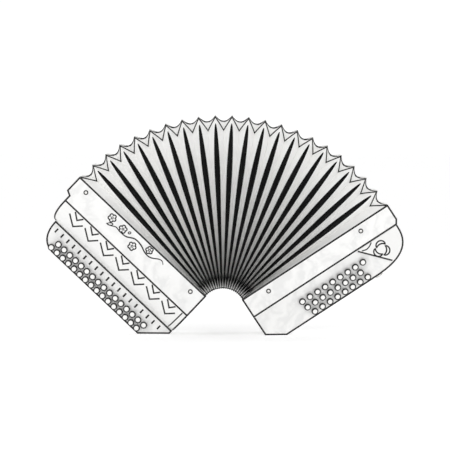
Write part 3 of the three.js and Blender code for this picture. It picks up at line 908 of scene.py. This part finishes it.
# centre, radius and turn
FLOWERS = [((15.5, 282.5), 8.2, 0.3), ((17, 252.5), 8.0, 0.9),
           ((29, 216.5), 8.2, 0.1), ((11.5, 186.5), 7.4, 0.6)]
PETAL_WIDTH = 2.4
EYE_RADIUS, EYE_WIDTH = 2.0, 1.6
# centre, radius, squeeze and turn
BUD = ((13.5, 238), 2.6, 0.75, 0.6)
LEAF = ((27, 277.5), 5.6, 0.4, 0.9)
LEAF_WIDTH = 1.8


def flower_vine():
    work = Builder()
    add_line(work, TREBLE_FRONT, curve_through(VINE), VINE_WIDTH, tips=VINE_TIPS)
    for centre, radius, turn in FLOWERS:
        add_line(work, TREBLE_FRONT, petals(centre, radius, turn), PETAL_WIDTH, closed=True)
        add_line(work, TREBLE_FRONT, oval(centre, EYE_RADIUS), EYE_WIDTH, closed=True)
    for shape in (BUD, LEAF):
        add_line(work, TREBLE_FRONT, oval(*shape), LEAF_WIDTH, closed=True)
    ride_inlay(work, "treble_flower_vine", TREBLE)


CHEVRONS = 7
CHEVRON_PITCH = 41.3
FIRST_CHEVRON = 327
# The outer and the inner stroke of a chevron: n of its point and of its two ends,
# and how far above the chevron's z its upper end, its point and its lower end are
CHEVRON_STROKES = (((81.2, 66.5), (22, 0, -13.5)), ((66.5, 56.5), (16, 2.3, -5.5)))
CHEVRON_WIDTH = 2.9
END_LINE = [(56.3, 55.5), (96.8, 56.5)]  # just above the grille's lower end
END_LINE_WIDTH = 2.5
CURVE_STEP = 3  # the longest piece of a line on the grille, which is curved
SIDE_STEP = 8  # and on the covers' outer sides


def grille_ornament():
    """Nested chevrons along the grille, the line above its lower end, and its bindings."""
    work = Builder()
    for i in range(CHEVRONS):
        z = FIRST_CHEVRON - i * CHEVRON_PITCH
        for (tip, root), (upper, middle, lower) in CHEVRON_STROKES:
            stroke = [(root, z + upper), (tip, z + middle), (root, z + lower)]
            add_line(work, GRILLE, stretched(stroke, CURVE_STEP), CHEVRON_WIDTH)
    add_line(work, GRILLE, stretched(END_LINE, CURVE_STEP), END_LINE_WIDTH)
    lower_end = [(TREBLE_CASE_N + LINE_END, CASE_LOW), (KEYBOARD_N, CASE_LOW)]
    for edge in (lower_end, TREBLE_SHOULDER):
        add_binding(work, GRILLE, stretched(edge, CURVE_STEP))
    ride_inlay(work, "treble_grille_chevrons", TREBLE)


# Marks that carry on the row of lever slots past its ends: in keys from the first, and from n to n
TICKS = (-1, 16, 17)
TICK_FROM, TICK_TO, TICK_WIDTH = 107, 116.5, 3.2


def keyboard_ornament():
    """The keyboard's bindings and seams, and the marks that carry on its row of lever slots."""
    work = Builder()
    lower, foot, _ = TREBLE_EDGES
    add_binding(work, KEYBOARD, [(KEYBOARD_N + LINE_END, CASE_LOW), lower[1]])
    add_line(work, KEYBOARD, moved_in(foot, FOOT_SEAM), SEAM)
    add_binding(work, KEYBOARD, stretched(TREBLE_SIDE, SIDE_STEP))
    n = KEYBOARD_N + KEYBOARD_SEAM
    seam = [(n, CASE_LOW + LINE_END), (n, TREBLE_SIDE[-1][1] - LINE_END)]
    add_line(work, KEYBOARD, stretched(seam, SEAM_STEP), SEAM)
    for key in TICKS:
        z = KEY_ROWS["outer"]["first"] - key * KEY_PITCH
        add_line(work, KEYBOARD, [(TICK_FROM, z), (TICK_TO, z)], TICK_WIDTH)
    ride_inlay(work, "treble_keyboard_binding", TREBLE)


def bass_cover_binding():
    """The bindings of the bass cover's front, and the line along its cut foot."""
    work = Builder()
    lower, foot, side = BASS_EDGES
    add_binding(work, BASS_COVER, lower)
    add_line(work, BASS_COVER, moved_in(foot, FOOT_SEAM), SEAM)
    add_binding(work, BASS_COVER, stretched(part_beyond(side[0], BASS_CASE_N + LINE_END), SIDE_STEP))
    ride_inlay(work, "bass_cover_binding", BASS)


PLATE_LINE = [(45.2, 285.4), (97.8, 332.7)]
PLATE_CURVE = [(44.8, 316.8), (48.9, 310.5), (51.3, 302), (48.8, 292.5)]
PLATE_LINE_WIDTH, PLATE_CURVE_WIDTH = 2.8, 2.2
SWIRL_CENTRE = (67.1, 326.6)
SWIRL_RADIUS = 4.6  # from there to the centre of each crescent's arc
CRESCENTS = 3
CRESCENT_TURN, CRESCENT_LEAN = math.radians(30), 0.35
CRESCENT_RADIUS, CRESCENT_SPREAD = 9.2, 1.3  # of the arc, and half its angle
CRESCENT_HALF, CRESCENT_POWER = 3.2, 0.7  # half its thickness; below 1 it is blunter
CRESCENT_WIDTH, CRESCENT_STEPS = 2.7, 9


def crescent(centre, turn):
    """A crescent whose hollow side faces its centre."""
    outline = []
    last = CRESCENT_STEPS
    for side, run in ((1, range(-last, last + 1)), (-1, range(last - 1, -last, -1))):
        for i in run:
            share = i / last
            reach = CRESCENT_RADIUS + side * CRESCENT_HALF * math.cos(share * math.pi / 2) ** CRESCENT_POWER
            angle = turn + share * CRESCENT_SPREAD
            outline.append((centre[0] + reach * math.cos(angle), centre[1] + reach * math.sin(angle)))
    return outline


def corner_ornament():
    """Three crescents on the corner plate, the line along its lower edge, and a curve near its point."""
    work = Builder()
    x, z = SWIRL_CENTRE
    for i in range(CRESCENTS):
        turn = CRESCENT_TURN + 2 * math.pi * i / CRESCENTS
        hub = (x + SWIRL_RADIUS * math.cos(turn), z + SWIRL_RADIUS * math.sin(turn))
        add_line(work, BASS_PLATE, crescent(hub, turn + CRESCENT_LEAN), CRESCENT_WIDTH, closed=True)
    add_line(work, BASS_PLATE, curve_through(PLATE_CURVE), PLATE_CURVE_WIDTH)
    add_line(work, BASS_PLATE, stretched(PLATE_LINE), PLATE_LINE_WIDTH)
    ride_inlay(work, "bass_corner_ornament", BASS)


case_binding("treble_case_binding", TREBLE, TREBLE_FRONT, TREBLE_CASE_N, TREBLE_CORNER)
case_binding("bass_case_binding", BASS, BASS_FRONT, BASS_CASE_N, BASS_CORNER)
flower_vine()
grille_ornament()
keyboard_ornament()
bass_cover_binding()
corner_ornament()


# -------- keys, buttons and pins
BUTTON_RADIUS = 6.9
BASS_BUTTON_RADIUS = 6.8
# Profiles are lists of (radius, height along the axis)
COLLAR_PROFILE = [(2.4, -4.6), (2.4, -0.2), (6.5, 0.0), (6.9, 0.4),
                  (6.9, 2.5), (6.5, 3.0), (4.8, 3.1), (4.5, 2.7)]
DOME_PROFILE = [(4.6, 2.5), (4.6, 3.2), (4.35, 3.8), (3.6, 4.35), (2.4, 4.8), (1.1, 5.0), (0.05, 5.05)]


def add_button(work, foot, axis, across, scale=1.0):
    """A pearl dome in a black collar: slot 0 is the collar, slot 1 the dome."""
    for slot, profile in enumerate((COLLAR_PROFILE, DOME_PROFILE)):
        work.loft(lathe_loops(foot, axis, across, [(r * scale, h * scale) for r, h in profile]), slot=slot)


POST_TOP = 4.4  # the button's post above the keyboard's face
BUTTON_FOOT = 4.6  # and height 0 of the button's profiles
AXLE_SLOT = 1.8  # half the width of the lever's slot for the axle
PALLET = ((36.4, -9), (41.2, -9), (41.2, 9), (36.4, 9))  # its section: n, and y from its middle
LEVER_HALF, PALLET_HALF = 1.5, 6  # half their widths along the case


def key_lever(row):
    """The lever's outline as (n, y), from the button's post round the axle to the pallet's arm."""
    n, pallet_y = row["n"], row["pallet_y"]
    face = keyboard_y(n)
    return [
        (n - 3, face - POST_TOP), (n + 3, face - POST_TOP), (n + 3, face + 9.5),
        (KEYBOARD_N, KEYBOARD_FRONT + 9.5), (AXLE_N + 5, AXLE_Y + 7), (AXLE_N + AXLE_SLOT, AXLE_Y + 7),
        (AXLE_N + AXLE_SLOT, AXLE_Y - AXLE_SLOT), (AXLE_N - AXLE_SLOT, AXLE_Y - AXLE_SLOT),
        (AXLE_N - AXLE_SLOT, AXLE_Y + 7), (AXLE_N - 5, AXLE_Y + 7), (50, pallet_y + 3), (40, pallet_y + 3),
        (40, pallet_y - 3), (50, pallet_y - 3), (AXLE_N - 4, AXLE_Y - 7), (KEYBOARD_N, KEYBOARD_FRONT + 4.5),
        (n - 3, face + 4.5),
    ]


def treble_key(name, row, z):
    """One key: a pearl button on a black lever, with a leather-faced pallet at the lever's far end."""
    work = Builder()
    pallet = [(n, row["pallet_y"] + y) for n, y in PALLET]
    for outline, half, slot in ((key_lever(row), LEVER_HALF, 0), (pallet, PALLET_HALF, 2)):
        work.loft([[TREBLE.at(n, y, z + side) for n, y in outline] for side in (-half, half)], slot=slot)
    foot = TREBLE.at(row["n"], keyboard_y(row["n"]) - BUTTON_FOOT, z)
    add_button(work, foot, TREBLE.along(KEYBOARD_SLOPE, -1), TREBLE.up)
    piece = work.make(name.replace("treble_key", "treble_button"), [INLAY, PEARL, LEATHER])
    soften(piece, 0.25 * MM, 1, 40)
    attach(piece, name)
    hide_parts(name)


BASS_BUTTON_FOOT = 3.8 * MM  # the same, above the cover
BASS_STEM = [(2.3, -9.5), (2.3, -3.0)]
BASS_BAR = ((-3, 4.9), (3, 4.9), (3, 8.2), (-3, 8.2))  # its section: along the cover's slope, and below it
BAR_END = 3  # how far it goes past its last stems


def bass_button_row(name, row):
    """One row of bass buttons with the bar that joins their stems inside the cover."""
    work = Builder()
    axis = BASS.along(BASS_SLOPE, -1)
    heights = [row["first"] - i * BASS_PITCH for i in range(row["count"])]
    surface_y = bass_cover_y(row["n"])
    for z in heights:
        foot = BASS.at(row["n"], surface_y, z) + axis * BASS_BUTTON_FOOT
        add_button(work, foot, axis, BASS.up, BASS_BUTTON_RADIUS / BUTTON_RADIUS)
        work.loft(lathe_loops(foot, axis, BASS.up, BASS_STEM, 16), slot=2)
    side = BASS.along(1, BASS_SLOPE)
    bar = []
    for z in (heights[0] + BAR_END, heights[-1] - BAR_END):
        middle = BASS.at(row["n"], surface_y, z)
        bar.append([middle + side * a * MM - axis * b * MM for a, b in BASS_BAR])
    work.loft(bar, slot=2)
    piece = work.make(name.replace("buttons", "pearl_buttons"), [INLAY, PEARL, NICKEL])
    soften(piece, 0.2 * MM, 1, 40)
    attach(piece, name)
    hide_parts(name)


BUSH_PROFILE = [(2.9, -1.0), (4.9, -1.0), (4.9, 0.3), (4.4, 0.6), (3.2, 0.6), (2.9, 0.3), (2.9, -1.0)]


def bass_bushes():
    """A thin black bush round each bass button's stem, where it goes through the cover."""
    work = Builder()
    axis = BASS.along(BASS_SLOPE, -1)
    for row in BASS_ROWS.values():
        for i in range(row["count"]):
            foot = BASS.at(row["n"], bass_cover_y(row["n"]), row["first"] - i * BASS_PITCH)
            work.loft(lathe_loops(foot, axis, BASS.up, BUSH_PROFILE, 24), caps=False)
    ride_inlay(work, "bass_stem_bushes", BASS)


AIR_CAP = [(2.4, -1.0), (7.4, 0.0), (8.0, 0.6), (8.0, 2.2), (7.5, 3.1), (6.2, 3.7), (3.5, 4.05), (0.05, 4.1)]
AIR_CAP_FOOT = 5  # out from the cover's end
AIR_STEM = [(2.5, AIR_SEAT - 2), (2.5, BASS_REACH + 5.5)]
# The disc's heights are places n, as the stem's are
AIR_DISC = [(11.6, 20.7), (12, 21.1), (12, 23), (11.6, 23.2)]
AIR_SEAL = [(11.8, 23.2), (11.8, AIR_SEAT)]


def air_valve():
    """The air button, its stem and the leather-faced disc that seals the port."""
    work = Builder()
    axis = BASS.along(1, 0)
    foot = BASS.at(BASS_REACH + AIR_CAP_FOOT, AIR_Y, AIR_Z)
    work.loft(lathe_loops(foot, axis, BASS.up, AIR_CAP), slot=0)
    inner = BASS.at(0, AIR_Y, AIR_Z)
    for profile, sides, slot in ((AIR_STEM, 20, 0), (AIR_DISC, 32, 0), (AIR_SEAL, 32, 1)):
        work.loft(lathe_loops(inner, axis, BASS.up, profile, sides), slot=slot)
    piece = work.make("bass_air_button", [NICKEL, LEATHER])
    soften(piece, 0.2 * MM, 1, 40)
    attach(piece, "bass_air_valve")
    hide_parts("bass_air_valve")


PIN_LIFT = 0.1
PIN_PROFILE = [(1.6, -14.5), (1.6, 0.1), (3.0, 0.4), (3.0, 1.0),
               (2.7, 1.5), (2.0, 1.9), (1.0, 2.15), (0.05, 2.2)]
ROSETTE_PROFILE = [(1.7, 0.0), (4.7, 0.0), (4.8, 0.3), (4.5, 0.7),
                   (3.6, 0.85), (2.8, 0.7), (1.7, 0.5), (1.7, 0.0)]


def bellows_pin(case, name, z):
    """A nickel pin with a domed head in a black rosette, which holds the bellows frame in its case."""
    work = Builder()
    seat = case.at(PIN_N, -HALF - PIN_LIFT, z)
    work.loft(lathe_loops(seat, FRONT, case.up, PIN_PROFILE), slot=0)
    work.loft(lathe_loops(seat, FRONT, case.up, ROSETTE_PROFILE), caps=False, slot=1)
    piece = work.make(f"{name}_head", [NICKEL, INLAY])
    soften(piece, 0.15 * MM, 1, 40)
    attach(piece, case.body)
    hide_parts(name)


for row_name, row in KEY_ROWS.items():
    for i in range(KEYS_PER_ROW):
        treble_key(f"treble_key_{row_name}_{i + 1:02d}", row, row["first"] - i * KEY_PITCH)
for row_name, row in BASS_ROWS.items():
    bass_button_row(row_name, row)
bass_bushes()
air_valve()
for pin_case, pin_name, pin_z in PINS:
    bellows_pin(pin_case, pin_name, pin_z)


# -------- stage, lights and camera
VIEW_WIDTH = 0.8785  # of the picture, at the front of the instrument
VIEW_CENTRE = Vector((0.0015, MIDDLE_Y - HALF_DEPTH, 0.2165))
VIEW_ELEVATION = math.radians(1.5)
CAMERA_DISTANCE = 8.0
FLOOR_HALF = 40.0
WALL_STRENGTH, CEILING_STRENGTH = 1.06, 0.55
# name, place, target, size and power
AREA_LIGHTS = (
    ("key", (-1.4, -2.2, 2.2), (0, 0, 0.2), 1.2, 8),
    ("fill", (0.3, -4.0, 0.7), (0, 0, 0.22), 2.4, 22),
    ("rim", (1.8, 1.6, 1.8), (0, 0, 0.25), 1.0, 6),
)


def make_stage():
    floor = Builder()
    a = FLOOR_HALF
    floor.add([(-a, -a, 0), (a, -a, 0), (a, a, 0), (-a, a, 0)], [[0, 1, 2, 3]], [0])
    piece = floor.make("floor", [pale_floor()])


def area_light(name, place, target, size, power):
    lamp = bpy.data.lights.new(name, "AREA")
    lamp.shape = "SQUARE"
    lamp.size = size
    lamp.energy = power
    holder = bpy.data.objects.new(name, lamp)
    bpy.context.scene.collection.objects.link(holder)
    holder.location = place
    holder.rotation_euler = (Vector(target) - Vector(place)).to_track_quat("-Z", "Y").to_euler()


def make_lights():
    world = bpy.data.worlds.new("studio")
    bpy.context.scene.world = world
    world.use_nodes = True
    # white walls under a duller ceiling, so that the tops are a shade darker than the fronts
    sky = Nodes(world.node_tree)
    direction = sky.node("SeparateXYZ", {"Vector": sky.node("TexCoord").outputs["Generated"]})
    strength = sky.between(direction.outputs["Z"], WALL_STRENGTH, CEILING_STRENGTH)
    sky.put(world.node_tree.nodes["Background"], {"Color": (1.0, 1.0, 1.0, 1), "Strength": strength})
    for light in AREA_LIGHTS:
        area_light(*light)


def make_camera():
    lens = bpy.data.cameras.new("camera")
    camera = bpy.data.objects.new("camera", lens)
    bpy.context.scene.collection.objects.link(camera)
    back = Vector((0, -math.cos(VIEW_ELEVATION), math.sin(VIEW_ELEVATION)))
    camera.location = VIEW_CENTRE + back * CAMERA_DISTANCE
    camera.rotation_euler = (-back).to_track_quat("-Z", "Y").to_euler()
    lens.sensor_width = 36
    lens.lens = lens.sensor_width * CAMERA_DISTANCE / VIEW_WIDTH
    lens.clip_end = 100
    bpy.context.scene.camera = camera


make_stage()
make_lights()
make_camera()
bpy.context.scene.view_settings.view_transform = "Standard"
